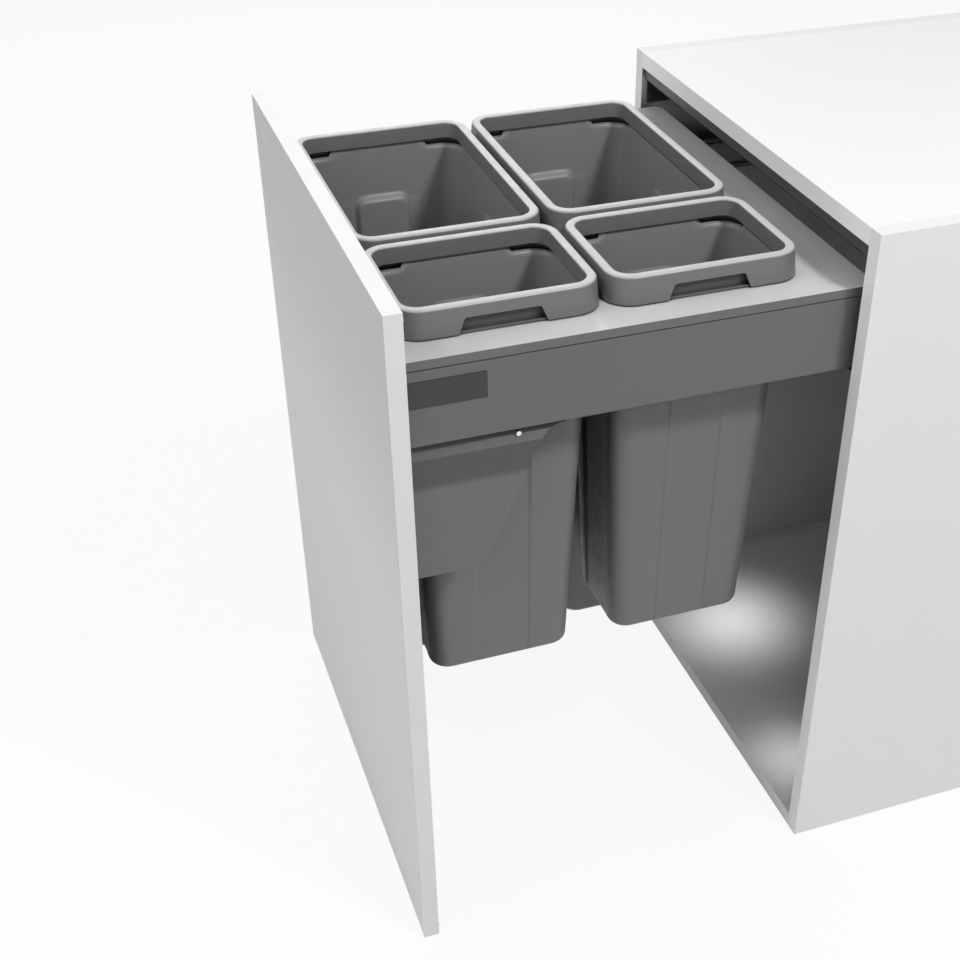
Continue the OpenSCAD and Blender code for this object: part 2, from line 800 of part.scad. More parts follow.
module brace_left() color([0.45, 0.46, 0.48]) on_left() brace();

module brace_right() color([0.45, 0.46, 0.48]) on_right() brace();

// A stud set in the drawer side's wall: it goes through the brace's leaning face, and its head holds that
module brace_rivet() {
    translate([rivet_u, rivet_y, side_z - rivet_drop]) rotate([0, 90, 0]) {
        cylinder(r = rivet_head_r, h = rivet_head_h);
        cylinder(r = rivet_r, h = side_end_u - rivet_u);
    }
}

module brace_rivets() color("white") {
    on_left() brace_rivet();
    on_right() brace_rivet();
}

module side_front_screws() {
    for (z = bracket_screw_zs) translate([bracket_screw_u, panel_back_y + bracket_t, z]) panel_screw();
    for (z = brace_screw_zs()) translate([brace_screw_u, panel_back_y + brace_t, z]) panel_screw();
}

module front_screws() color("silver") {
    on_left() side_front_screws();
    on_right() side_front_screws();
}

// Back of the drawer, between the two drawer sides
module drawer_back() color([0.42, 0.42, 0.43]) from_front() {
    half = wall_x - side_end_u;
    y1 = back_plate_y;
    h = side_top_z - back_foot_z;
    difference() {
        union() {
            translate([-half, y1 - back_plate_t, back_foot_z]) cube([2 * half, back_plate_t, h]);
            translate([-half, y1 - back_rim, side_top_z - back_plate_t])
                cube([2 * half, back_rim, back_plate_t]);
            for (s = [0, 1]) mirror([s, 0, 0])
                translate([half - back_plate_t, y1 - back_tab_l, back_foot_z + back_rim])
                    cube([back_plate_t, back_tab_l, h - back_rim]);
        }
        for (z = back_screw_zs()) translate([-half - cut, back_screw_y, z]) rotate([0, 90, 0])
            cylinder(r = small_screw_r + bore_fit, h = 2 * half + 2 * cut);
    }
}

module back_screws() color("silver") {
    l = sheet_t + back_plate_t + 2 * sheet_t;
    for (z = back_screw_zs()) {
        on_left() translate([side_end_u + back_plate_t, back_screw_y, z]) rotate([0, 90, 0])
            screw(small_head_r, small_head_h, small_screw_r, l);
        on_right() translate([side_end_u + back_plate_t, back_screw_y, z]) rotate([0, 90, 0])
            screw(small_head_r, small_head_h, small_screw_r, l);
    }
}

// Front panel, with pilot bores on its back
module panel_bores() {
    for (z = bracket_screw_zs) translate([bracket_screw_u, panel_back_y + cut, z]) rotate([90, 0, 0])
        cylinder(r = screw_r + bore_fit, h = screw_l + cut);
    for (z = brace_screw_zs()) translate([brace_screw_u, panel_back_y + cut, z]) rotate([90, 0, 0])
        cylinder(r = screw_r + bore_fit, h = screw_l + cut);
}

module front_panel() color("whitesmoke") difference() {
    from_front() translate([-front_w / 2, panel_back_y - front_t, foot_gap]) cube([front_w, front_t, front_h]);
    on_left() panel_bores();
    on_right() panel_bores();
}

module front_bumpers() color("lightcyan") from_front() {
    for (x = [-1, 1], z = [foot_gap + board_t / 2, foot_gap + front_h - board_t / 2])
        translate([x * (front_w / 2 - bumper_inset), panel_back_y, z]) rotate([-90, 0, 0])
            cylinder(d = bumper_d, h = bumper_t);
}

// Cover frame that closes the drawer's top and holds the bins
bin_places = [[large_x, front_bin_y, large_w], [small_x, front_bin_y, small_w],
    [large_x, rear_bin_y, large_w], [small_x, rear_bin_y, small_w]];

module bin_hole(w, grow) {
    inset = 2 * (body_inset - hole_play - grow);
    round_rect(w - inset, collar_l - inset, bin_r + hole_play + grow);
}

module frame_plate_outline(inset) {
    half = wall_x - side_u - inset;
    y0 = drawer_y + inset;
    y1 = drawer_end_y - inset;
    r = frame_r - inset;
    translate([-half, y0]) square([2 * half, y1 - y0 - r]);
    translate([-half + r, y1 - r]) square([2 * (half - r), r]);
    for (s = [-1, 1]) translate([s * (half - r), y1 - r]) circle(r);
}

module cover_frame() color([0.62, 0.62, 0.63]) from_front() {
    rib_half = wall_x - rib_u - rib_w;
    flange_z = frame_z - frame_flange;
    difference() {
        union() {
            translate([0, 0, frame_z - frame_t]) linear_extrude(frame_t) frame_plate_outline(0);
            translate([0, 0, flange_z]) linear_extrude(frame_flange) difference() {
                frame_plate_outline(0);
                frame_plate_outline(flange_t);
            }
            for (p = bin_places) translate([p[0], p[1], frame_z - frame_t - lip_h])
                linear_extrude(lip_h) bin_hole(p[2], lip_t);
            for (s = [0, 1]) mirror([s, 0, 0])
                translate([rib_half, drawer_y + rib_end_gap, side_top_z])
                    cube([rib_w, side_l - 2 * rib_end_gap - flange_t, frame_z - frame_t - side_top_z]);
            translate([-rib_half, back_plate_y - back_rim, side_top_z])
                cube([2 * rib_half, rib_w, frame_z - frame_t - side_top_z]);
        }
        for (p = bin_places) translate([p[0], p[1], flange_z - cut])
            linear_extrude(frame_flange + 2 * cut) bin_hole(p[2], 0);
        for (s = [-1, 1], y = frame_screw_ys()) translate([s * (wall_x - bracket_screw_u), y, side_top_z - cut])
            cylinder(r = small_screw_r + bore_fit, h = frame_screw_up + seat_gap + cut);
    }
}

module frame_screws() color("silver") from_front() {
    for (s = [-1, 1], y = frame_screw_ys())
        translate([s * (wall_x - bracket_screw_u), y, side_top_z - sheet_t]) mirror([0, 0, 1])
            screw(small_head_r, small_head_h, small_screw_r, frame_screw_up + sheet_t);
}

// Bins: tapered shells with a rim, upstands that carry the collar and a pressed panel in each wall
function narrowing(z, draft) = tan(draft) * (frame_z - z);

module bin_slice(w, z, inset) {
    l = collar_l - 2 * body_inset;
    translate([0, 0, z - slice_t]) linear_extrude(slice_t) round_rect(
        w - 2 * (narrowing(z, bin_draft) + inset), l - 2 * (narrowing(z, bin_end_draft) + inset),
        bin_r - min(inset, bin_r / 2), $fn = hull_fn
    );
}

module bin_block(w, z0, z1, inset, fillet) hull() {
    for (i = [0 : fillet_steps]) {
        a = 90 * i / fillet_steps;
        bin_slice(w, z0 + slice_t + fillet * (1 - cos(a)), inset + fillet * (1 - sin(a)));
    }
    bin_slice(w, z1, inset);
}

// A panel on the wall at +X: from its own depth behind the leaning wall out to the overrun
module wall_panel(half, depth, draft, out, grow, z0) {
    zt = panel_top_z + grow;
    r = panel_r + grow;
    reach = panel_w / 2 + grow;
    intersection() {
        along_x(0, half + out) polygon(concat(
            [[-reach, z0]],
            arc([-reach + r, zt - r], r, 180, 90, panel_steps),
            arc([reach - r, zt - r], r, 90, 0, panel_steps),
            [[reach, z0]]
        ));
        along_y(-reach - cut, 2 * (reach + cut)) polygon([
            [half - narrowing(z0, draft) - depth, z0], [half - narrowing(zt, draft) - depth, zt],
            [half + out, zt], [half + out, z0]
        ]);
    }
}

// The four panels, from +X anticlockwise; the one at -X has its own depth
module wall_panels(w, far_depth, wall, out, z0) {
    l = collar_l - 2 * body_inset;
    for (p = [
        [0, w, panel_depth, bin_draft], [90, l, panel_depth, bin_end_draft],
        [180, w, far_depth, bin_draft], [270, l, panel_depth, bin_end_draft]
    ])
        rotate([0, 0, p[0]]) wall_panel(p[1] / 2, p[2] + wall, p[3], out, wall, z0);
}

// Both ends of the upstand on the wall at +X, cut down to the rim over a length at each corner
module upstand_notch(half, l, notch_l) {
    keep = l / 2 - notch_l;
    z0 = rim_z + rim_t + notch_up;
    end = l / 2 + body_inset;
    for (s = [0, 1]) mirror([0, s, 0]) along_x(half - notch_reach, notch_reach + body_inset) polygon([
        [keep + upstand_slant, z0], [keep, z0 + upstand_slant], [keep, upstand_z + cut],
        [end, upstand_z + cut], [end, z0]
    ]);
}

module bin(x, y, collar_w, drop, far_depth) color([0.43, 0.42, 0.4]) from_front() translate([x, y, 0]) {
    w = collar_w - 2 * body_inset;
    l = collar_l - 2 * body_inset;
    z = frame_z - drop;
    rim_inset = skirt_t + 2 * seat_gap;
    difference() {
        union() {
            bin_block(w, z, upstand_z, 0, bin_fillet);
            translate([0, 0, rim_z]) linear_extrude(rim_t)
                round_rect(collar_w - 2 * rim_inset, collar_l - 2 * rim_inset, collar_r - rim_inset);
        }
        difference() {
            bin_block(w, z + bin_floor_t, upstand_z + cut, bin_wall, bin_fillet - bin_wall);
            wall_panels(w, far_depth, bin_wall, cut, z);
        }
        wall_panels(w, far_depth, 0, body_inset, z - cut);
        for (a = [0, 180]) {
            rotate([0, 0, a]) upstand_notch(w / 2, l, notch_side_l);
            rotate([0, 0, a + 90]) upstand_notch(l / 2, w, notch_end_l);
        }
    }
}

module bin_front_left() bin(large_x, front_bin_y, large_w, large_drop, deep_panel);

module bin_front_right() bin(small_x, front_bin_y, small_w, small_drop, panel_depth);

module bin_rear_left() bin(large_x, rear_bin_y, large_w, large_drop, deep_panel);

module bin_rear_right() bin(small_x, rear_bin_y, small_w, small_drop, panel_depth);

// Collars: one profile led round the bin's rim, with an outer skirt down to the cover frame
// and a short inner skirt. Across, the profile counts from the outer foot, inwards negative.
module collar_profile() {
    f = collar_fillet;
    g = collar_inner_fillet;
    end = -skirt_draft - collar_band;
    roof_z = collar_top_z - collar_roof_t;
    skirt_z = collar_top_z - inner_skirt_h;
    polygon(concat(
        [[0, foot_z]],
        arc([-skirt_draft - f, collar_top_z - f], f, 0, 90, fillet_steps),
        arc([end + g, collar_top_z - g], g, 90, 180, fillet_steps),
        [[end, skirt_z], [end + inner_skirt_t, skirt_z], [end + inner_skirt_t, roof_z],
            [-skirt_t - skirt_draft, roof_z], [-skirt_t, foot_z]]
    ));
}

module ring_side(across, length) translate([across / 2, 0, 0]) along_y(-length / 2, length) collar_profile();

module ring(w, l, r) {
    for (a = [0, 180]) {
        rotate([0, 0, a]) ring_side(w, l - 2 * r);
        rotate([0, 0, a + 90]) ring_side(l, w - 2 * r);
    }
    for (sx = [0, 1], sy = [0, 1]) mirror([sx, 0, 0]) mirror([0, sy, 0])
        translate([w / 2 - r, l / 2 - r, 0]) rotate_extrude(angle = 90) translate([r, 0]) collar_profile();
}

module grip_outline() {
    half = grip_w / 2;
    lean = atan2(grip_top_inset, grip_h);
    corner = [half - grip_top_inset - grip_r, rim_z + grip_h - grip_r];
    polygon(concat(
        [[half, rim_z - cut], [half, rim_z]],
        arc(corner, grip_r, lean, 90, fillet_steps),
        arc([-corner[0], corner[1]], grip_r, 90, 180 - lean, fillet_steps),
        [[-half, rim_z], [-half, rim_z - cut]]
    ));
}

module collar(x, y, w, grip_side) color([0.62, 0.62, 0.62]) from_front() translate([x, y, 0]) {
    difference() {
        ring(w, collar_l, collar_r);
        mirror([grip_side, 0, 0]) along_x(w / 2 - skirt_t - skirt_draft - cut, skirt_t + skirt_draft + 2 * cut)
            grip_outline();
    }
}

module collar_front_left() collar(large_x, front_bin_y, large_w, 1);

module collar_front_right() collar(small_x, front_bin_y, small_w, 0);

module collar_rear_left() collar(large_x, rear_bin_y, large_w, 1);

module collar_rear_right() collar(small_x, rear_bin_y, small_w, 0);

side_panel_left();
side_panel_right();
top_panel();
bottom_panel();
back_panel();
carcass_dowels();
lid_plate();
lid_seal();
lid_bracket_front_left();
lid_bracket_front_right();
lid_bracket_rear_left();
lid_bracket_rear_right();
lid_clips();
lid_screws();
cabinet_rail_left();
cabinet_rail_right();
rail_screws();
soft_close_left();
soft_close_right();
middle_rail_left();
middle_rail_right();
outer_cage_left();
outer_cage_right();
inner_cage_left();
inner_cage_right();
outer_balls();
inner_balls();
drawer_rail_left();
drawer_rail_right();
drawer_side_left();
drawer_side_right();
cover_cap_left();
cover_cap_right();
front_bracket_left();
front_bracket_right();
bracket_bolts();
brace_left();
brace_right();
brace_rivets();
front_screws();
drawer_back();
back_screws();
front_panel();
front_bumpers();
cover_frame();
frame_screws();
bin_front_left();
bin_front_right();
bin_rear_left();
bin_rear_right();
collar_front_left();
collar_front_right();
collar_rear_left();
collar_rear_right();
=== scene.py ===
import json
import math

import bmesh
import bpy
from mathutils import Matrix, Vector


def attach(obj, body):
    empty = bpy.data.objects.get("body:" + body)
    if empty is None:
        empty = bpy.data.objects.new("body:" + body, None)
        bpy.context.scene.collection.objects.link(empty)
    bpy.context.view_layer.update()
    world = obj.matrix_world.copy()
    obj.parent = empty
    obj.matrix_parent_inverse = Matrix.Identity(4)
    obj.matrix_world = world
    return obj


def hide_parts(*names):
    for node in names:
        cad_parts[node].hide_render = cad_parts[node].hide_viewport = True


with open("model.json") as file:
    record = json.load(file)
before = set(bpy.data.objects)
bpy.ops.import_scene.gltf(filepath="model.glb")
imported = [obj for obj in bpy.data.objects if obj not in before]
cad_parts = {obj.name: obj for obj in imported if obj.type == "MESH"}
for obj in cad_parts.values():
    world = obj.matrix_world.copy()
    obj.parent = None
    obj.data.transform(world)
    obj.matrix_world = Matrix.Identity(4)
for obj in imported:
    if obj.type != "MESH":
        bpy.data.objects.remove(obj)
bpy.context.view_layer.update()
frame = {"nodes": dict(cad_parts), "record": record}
nodes = frame["nodes"]
scene = bpy.context.scene

# The pull-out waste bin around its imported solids: every solid gets a procedural finish, and the four bins and the
# four collars are moulded again as meshes of the same size. Metres in the scene, millimetres in the sizes below.
MM = 0.001
FRONT_Y = -280.0  # the cabinet's front edge in the row frame; the places of bins and collars count from it


# ---------------------------------------------------------------- materials
class Mat:
    """A material with short ways to add and link its nodes."""

    def __init__(self, name, colour, rough, metal=0.0, specular=0.5):
        self.mat = bpy.data.materials.new(name)
        self.mat.use_nodes = True
        self.tree = self.mat.node_tree
        self.shader = self.tree.nodes["Principled BSDF"]
        self.coords = self.tree.nodes.new("ShaderNodeTexCoord").outputs["Object"]
        self.shader.inputs["Base Color"].default_value = (*colour, 1)
        self.shader.inputs["Roughness"].default_value = rough
        self.shader.inputs["Metallic"].default_value = metal
        self.shader.inputs["Specular IOR Level"].default_value = specular
        self.colour = colour
        self.last_colour = None
        self.height = None

    def node(self, kind, links=(), **values):
        n = self.tree.nodes.new(kind)
        for key, value in values.items():
            setattr(n, key, value)
        for name, source in links:
            if isinstance(source, (int, float, tuple)):
                n.inputs[name].default_value = source
            else:
                self.tree.links.new(source, n.inputs[name])
        return n

    def noise(self, scale, detail=4.0, rough=0.55, stretch=(1, 1, 1)):
        m = self.node("ShaderNodeMapping", [("Vector", self.coords), ("Scale", stretch)])
        n = self.node("ShaderNodeTexNoise", [("Vector", m.outputs["Vector"]), ("Scale", scale), ("Detail", detail),
                                             ("Roughness", rough)])
        return n.outputs["Fac"]

    def voronoi(self, scale):
        return self.node("ShaderNodeTexVoronoi", [("Vector", self.coords), ("Scale", scale)]).outputs["Distance"]

    def ramp(self, source, low, high, out_low=0.0, out_high=1.0):
        n = self.node("ShaderNodeMapRange", [("Value", source), ("From Min", low), ("From Max", high),
                                             ("To Min", out_low), ("To Max", out_high)])
        n.interpolation_type = "SMOOTHSTEP"
        return n.outputs["Result"]

    def height_ramp(self, low_mm, high_mm, out_low, out_high):
        """A value that goes from one to another between two heights over the floor."""
        z = self.node("ShaderNodeSeparateXYZ", [("Vector", self.coords)]).outputs["Z"]
        return self.ramp(z, low_mm * MM, high_mm * MM, out_low, out_high)

    def vary(self, source, amount):
        """Makes the colour lighter and darker with a value between 0 and 1."""
        light = tuple(min(1, c * (1 + amount)) for c in self.colour)
        self.mix_colour(source, (*self.shade(1 - amount), 1), (*light, 1))

    def shade(self, share):
        return tuple(share * c for c in self.colour)

    def mix_colour(self, fac, a, b):
        mix = self.node("ShaderNodeMix", data_type="RGBA")
        for socket, value in [(0, fac), (6, a), (7, b)]:
            if isinstance(value, (int, float, tuple)):
                mix.inputs[socket].default_value = value
            else:
                self.tree.links.new(value, mix.inputs[socket])
        self.tree.links.new(mix.outputs[2], self.shader.inputs["Base Color"])
        self.last_colour = mix.outputs[2]

    def over(self, fac, colour):
        """Lays another colour over the present one."""
        self.mix_colour(fac, self.last_colour, (*colour, 1))

    def rough_from(self, source, low, high):
        self.tree.links.new(self.ramp(source, 0.3, 0.7, low, high), self.shader.inputs["Roughness"])

    def bump(self, source, distance, strength=1.0):
        links = [("Height", source), ("Distance", distance), ("Strength", strength)]
        if self.height is not None:
            links.append(("Normal", self.height))
        n = self.node("ShaderNodeBump", links)
        self.height = n.outputs["Normal"]
        self.tree.links.new(self.height, self.shader.inputs["Normal"])

    def painted_top_light(self, colour):
        """Painted top light: another colour, lighter or darker, for the surfaces that face up, standing in for how the
        overhead light falls on them.
        """
        normal = self.node("ShaderNodeTexCoord").outputs["Normal"]
        z = self.node("ShaderNodeSeparateXYZ", [("Vector", normal)]).outputs["Z"]
        self.over(self.ramp(z, TOP_LIGHT_START, TOP_LIGHT_FULL), colour)

    def painted_occlusion_shade(self, reach_mm, low, high, amount, climb=None):
        """Painted occlusion shade: darkens the colour where other surfaces come close, as an ambient occlusion node
        finds them; climb lets that grow with the height."""
        open_share = self.node("ShaderNodeAmbientOcclusion", [("Distance", reach_mm * MM)], samples=8).outputs["AO"]
        share = self.ramp(open_share, low, high, amount, 0.0)
        if climb:
            rise = self.height_ramp(**climb)
            share = self.node("ShaderNodeMath", [(0, share), (1, rise)], operation="MULTIPLY").outputs[0]
        self.over(share, self.shade(SHADE_DARKEST))

    # Painted top light and painted occlusion shade, for the materials that are given them
    def tones(self, up, painted_shade):
        if up:
            self.painted_top_light(up)
        if painted_shade:
            self.painted_occlusion_shade(**painted_shade)


def melamine(name, colour, rough=0.42, painted_shade=None, shade_rise=None):
    """Coated chipboard: nearly even, with a fine orange peel; it can be darkened with the height as painted shade."""
    m = Mat(name, colour, rough, specular=0.3)
    m.vary(m.noise(scale=3.0, detail=3), amount=0.008)
    if shade_rise:
        m.over(m.height_ramp(**shade_rise), m.shade(0.5))
    m.tones(None, painted_shade)
    m.rough_from(m.noise(scale=26.0), rough - 0.03, rough + 0.03)
    m.bump(m.noise(scale=900.0, detail=3, rough=0.6), distance=0.00003, strength=0.30)
    return m.mat


def plastic(name, colour, rough, grain=1500.0, depth=0.00005, specular=0.45, up=None, painted_shade=None):
    """Injection-moulded plastic with a fine spark-eroded grain."""
    m = Mat(name, colour, rough, specular=specular)
    m.vary(m.noise(scale=9.0), amount=0.04)
    specks = m.ramp(m.voronoi(scale=420.0), 0.02, 0.12, out_low=0.10, out_high=0.0)
    m.over(specks, m.shade(1.25))
    m.tones(up, painted_shade)
    m.rough_from(m.noise(scale=60.0), rough - 0.05, rough + 0.06)
    m.bump(m.noise(scale=grain, detail=2, rough=0.6), distance=depth, strength=0.5)
    m.bump(m.noise(scale=22.0, detail=3), distance=0.0004, strength=0.05)
    return m.mat


def powder_coat(name, colour, rough, texture=1800.0, up=None, painted_shade=None):
    """Painted sheet steel: a fine texture over slow waves."""
    m = Mat(name, colour, rough)
    m.vary(m.noise(scale=5.0), amount=0.03)
    m.tones(up, painted_shade)
    m.rough_from(m.noise(scale=45.0), rough - 0.05, rough + 0.05)
    m.bump(m.noise(scale=texture, detail=3, rough=0.6), distance=0.00004, strength=0.35)
    m.bump(m.noise(scale=18.0, detail=2), distance=0.0004, strength=0.04)
    return m.mat


def zinc(name, colour, rough, painted_shade):
    """Rolled and zinc-plated steel: fine lines along the rolling direction and cloudy patches."""
    m = Mat(name, colour, rough, metal=1.0)
    m.vary(m.noise(scale=30.0, detail=5, rough=0.6), amount=0.10)
    m.tones(None, painted_shade)
    lines = m.noise(scale=2600.0, detail=3, rough=0.6, stretch=(1, 0.03, 1))
    m.rough_from(lines, rough - 0.08, rough + 0.10)
    m.bump(lines, distance=0.00002, strength=0.3)
    return m.mat


def brace_coat(name, colour, rough):
    """Grey coating with the drawer side's shadow painted on its upper band, and painted shade on its leaning face,
    which looks up.
    """
    m = Mat(name, colour, rough, specular=0.35)
    m.vary(m.noise(scale=5.0), amount=0.03)
    m.over(m.height_ramp(**BRACE_SHADOW_BAND), m.shade(0.12))
    m.painted_top_light(m.shade(0.40))
    m.rough_from(m.noise(scale=45.0), rough - 0.05, rough + 0.05)
    m.bump(m.noise(scale=2600.0, detail=3, rough=0.6), distance=0.00004, strength=0.35)
    return m.mat


def bright(name, colour, rough):
    """Turned and polished steel."""
    m = Mat(name, colour, rough, metal=1.0)
    m.vary(m.noise(scale=400.0, detail=3), amount=0.06)
    m.rough_from(m.noise(scale=900.0, detail=3), rough - 0.05, rough + 0.08)
    m.bump(m.noise(scale=1800.0, detail=2), distance=0.00001, strength=0.3)
    return m.mat


def beech(name, colour, rough):
    """Beech with its grain along the dowel."""
    m = Mat(name, colour, rough)
    m.vary(m.noise(scale=90.0, detail=5, rough=0.6, stretch=(0.08, 1, 1)), amount=0.18)
    m.bump(m.noise(scale=300.0, rough=0.6, stretch=(0.05, 1, 1)), distance=0.0002, strength=0.4)
    return m.mat


TOP_LIGHT_START, TOP_LIGHT_FULL = 0.35, 0.95  # a normal's upward share where the painted top light begins and where it is full
SHADE_DARKEST = 0.06  # what is left of a colour where the painted occlusion shade is darkest
BRACE_SHADOW_BAND = dict(low_mm=606.0, high_mm=616.0, out_low=0.0, out_high=0.50)  # the heights of the drawer side's shadow painted on the brace's band
FRONT_SHADE = dict(low_mm=430.0, high_mm=800.0, out_low=0.0, out_high=0.44)  # painted shade: the front panel's upper part is darker
# Reaches of the painted occlusion shade; the last one darkens the cabinet's inside as painted shade, more so high up.
CLOSE_SHADE = dict(reach_mm=6.0, low=0.25, high=0.75, amount=0.85)
SNUG_SHADE = dict(reach_mm=7.0, low=0.25, high=0.75, amount=0.95)
WIDE_SHADE = dict(reach_mm=45.0, low=0.2, high=0.8, amount=0.75)
GAP_SHADE = dict(reach_mm=70.0, low=0.25, high=0.85, amount=0.90)
CAVE_SHADE = dict(reach_mm=600.0, low=0.10, high=0.45, amount=1.0,
            climb=dict(low_mm=600.0, high_mm=710.0, out_low=0.72, out_high=0.98))
M = {
    "board": melamine("board", (0.80, 0.80, 0.80), 0.52),
    # painted shade: the side and top panels darken where the cabinet's inside closes round them, more so high up
    "board_cave_shade": melamine("board_cave_shade", (0.80, 0.80, 0.80), 0.52, painted_shade=CAVE_SHADE),
    # painted top light: a lighter copy of the board for the top panel's upper face
    "board_top_lit": melamine("board_top_lit", (0.85, 0.85, 0.85), 0.52),
    # painted shade: the front panel wears a darker copy of the board, darker still towards its top
    "front_board": melamine("front_board", (0.69, 0.69, 0.69), 0.46, shade_rise=FRONT_SHADE),
    "back_board": melamine("back_board", (0.70, 0.70, 0.70), 0.55),
    # edge banding on the board's front edges, made lighter than the board as painted light
    "edging": melamine("edging", (0.88, 0.88, 0.878)),
    # painted light: a lighter copy of the edging for the top panel's front edge
    "edging_top_lit": melamine("edging_top_lit", (0.97, 0.97, 0.968)),
    # painted shade: a darker copy of the edging for the front panel's edges
    "edging_front_shaded": melamine("edging_front_shaded", (0.76, 0.76, 0.758)),
    "dowel": beech("dowel", (0.62, 0.45, 0.27), 0.6),
    # painted sheen on the faces that look up, and painted contact shade near other parts
    "cover_paint": powder_coat("cover_paint", (0.135, 0.135, 0.136), 0.36, texture=2600.0,
                               up=(0.60, 0.60, 0.602), painted_shade=CLOSE_SHADE),
    # the drawer and cap paints get painted contact shade near other parts
    "drawer_paint": powder_coat("drawer_paint", (0.126, 0.126, 0.127), 0.42, painted_shade=CLOSE_SHADE),
    "cap_paint": powder_coat("cap_paint", (0.034, 0.034, 0.035), 0.40, painted_shade=CLOSE_SHADE),
    # the lid paint and the zinc get painted shade where other parts come close
    "lid_paint": powder_coat("lid_paint", (0.052, 0.052, 0.053), 0.40, painted_shade=WIDE_SHADE),
    "zinc": zinc("zinc", (0.58, 0.59, 0.61), 0.34, painted_shade=WIDE_SHADE),
    # painted shade: a darkened copy of the zinc for the lid's steel parts inside the cabinet
    "lid_steel_shaded": zinc("lid_steel_shaded", (0.14, 0.14, 0.142), 0.45, painted_shade=WIDE_SHADE),
    "brace_steel": brace_coat("brace_steel", (0.150, 0.150, 0.150), 0.45),
    "bright_steel": bright("bright_steel", (0.78, 0.78, 0.79), 0.16),
    "cage_plastic": plastic("cage_plastic", (0.50, 0.44, 0.28), 0.45),
    "damper_plastic": plastic("damper_plastic", (0.03, 0.03, 0.032), 0.40),
    "seal_rubber": plastic("seal_rubber", (0.012, 0.012, 0.012), 0.75),
    "bumper_rubber": plastic("bumper_rubber", (0.55, 0.56, 0.56), 0.35),
    # painted shade between the bins and where parts come close to them
    "bin_plastic": plastic("bin_plastic", (0.157, 0.1555, 0.1520), 0.42, painted_shade=GAP_SHADE),
    # painted light: a lighter copy of the bin plastic for the inside, with painted shade under the collar's skirt
    "bin_inside_lit": plastic("bin_inside_lit", (0.225, 0.2245, 0.223), 0.42, painted_shade=SNUG_SHADE),
    # painted sheen on the faces that look up, and painted contact shade near other parts
    "collar_plastic": plastic("collar_plastic", (0.156, 0.156, 0.157), 0.40, grain=1100.0, depth=0.00008,
                              specular=0.6, up=(0.46, 0.46, 0.462), painted_shade=CLOSE_SHADE),
}
slot_of = {s["node"]: s["material_slot"] for s in frame["record"]["subparts"]}


def dress(obj, mat):
    obj.data.materials.clear()
    obj.data.materials.append(mat)


def wear(obj, mat, chosen):
    """Another material on the faces whose normal is chosen."""
    obj.data.materials.append(mat)
    for p in obj.data.polygons:
        if chosen(p.normal):
            p.material_index = len(obj.data.materials) - 1


def smooth(obj, degrees=35):
    for p in obj.data.polygons:
        p.use_smooth = True
    obj.data.set_sharp_from_angle(angle=math.radians(degrees))


def soften(obj, width, degrees=40):
    """A small rounded edge, as folded sheet, moulded plastic and sanded board have."""
    b = obj.modifiers.new("edge", "BEVEL")
    b.width = width * MM
    b.segments = 2
    b.limit_method = "ANGLE"
    b.angle_limit = math.radians(degrees)
    b.harden_normals = True
    b.use_clamp_overlap = True


EDGE_MM = {"side_panel": 0.8, "top_panel": 0.6, "bottom_panel": 0.6, "front_panel": 0.8, "cover_frame": 0.6,
           "drawer_side": 0.35, "brace_": 0.35, "lid_plate": 0.4, "front_bracket": 0.3, "drawer_back": 0.3,
           "cabinet_rail": 0.3, "middle_rail": 0.3, "drawer_rail": 0.3, "cover_cap": 0.3, "soft_close": 0.5,
           "lid_bracket": 0.3}
FACING, SIDEWAYS = 0.9, 0.5  # the share of a normal along an axis from which a face looks that way, or aside
for name, obj in nodes.items():
    slot = slot_of[name]
    # The side and top panels wear the cabinet's painted inside shade, and their front edges the edging with its
    # painted light.
    if name.startswith(("side_panel", "top_panel")):
        dress(obj, M["board_cave_shade"])
        wear(obj, M["edging_top_lit" if name == "top_panel" else "edging"], lambda n: n.y < -FACING)
    # painted shade: the lid's zinc and bright steel parts wear the darkened zinc
    elif name.startswith("lid_") and slot in ("zinc", "bright_steel"):
        dress(obj, M["lid_steel_shaded"])
    else:
        dress(obj, M[slot])
    # painted top light: the top panel's upper face wears the lighter copy of the board
    if name == "top_panel":
        wear(obj, M["board_top_lit"], lambda n: n.z > FACING)
    # painted shade: the front panel's edges wear the darker copy of the edging
    if name == "front_panel":
        wear(obj, M["edging_front_shaded"], lambda n: abs(n.y) < SIDEWAYS)
    smooth(obj)
    for start, width in EDGE_MM.items():
        if name.startswith(start) and not name.startswith("brace_rivets"):
            soften(obj, width)


# ---------------------------------------------------------------- mesh helpers
def solid(name, verts, faces, mats=(), second=()):
    """A closed mesh in millimetres, turned outwards; the faces numbered in second wear the second material."""
    mesh = bpy.data.meshes.new(name)
    mesh.from_pydata([Vector(v) * MM for v in verts], [], faces)
    for mat in mats:
        mesh.materials.append(mat)
    for i in second:
        mesh.polygons[i].material_index = 1
    mesh.validate()
    bm = bmesh.new()
    bm.from_mesh(mesh)
    bmesh.ops.remove_doubles(bm, verts=bm.verts, dist=1e-6)
    bmesh.ops.recalc_face_normals(bm, faces=bm.faces)
    bm.to_mesh(mesh)
    bm.free()
    obj = bpy.data.objects.new(name, mesh)
    scene.collection.objects.link(obj)
    return obj


def moulded(name, verts, faces, mats, second=()):
    """The mesh that stands in for a solid and rides with the body of the same name."""
    obj = solid(name + "_moulded", verts, faces, mats, second)
    smooth(obj, MOULDED_SHARP)
    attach(obj, name)
    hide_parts(name)
    return obj


def apply_modifiers(obj):
    deps = bpy.context.evaluated_depsgraph_get()
    deps.update()
    mesh = bpy.data.meshes.new_from_object(obj.evaluated_get(deps), depsgraph=deps)
    obj.modifiers.clear()
    obj.data = mesh


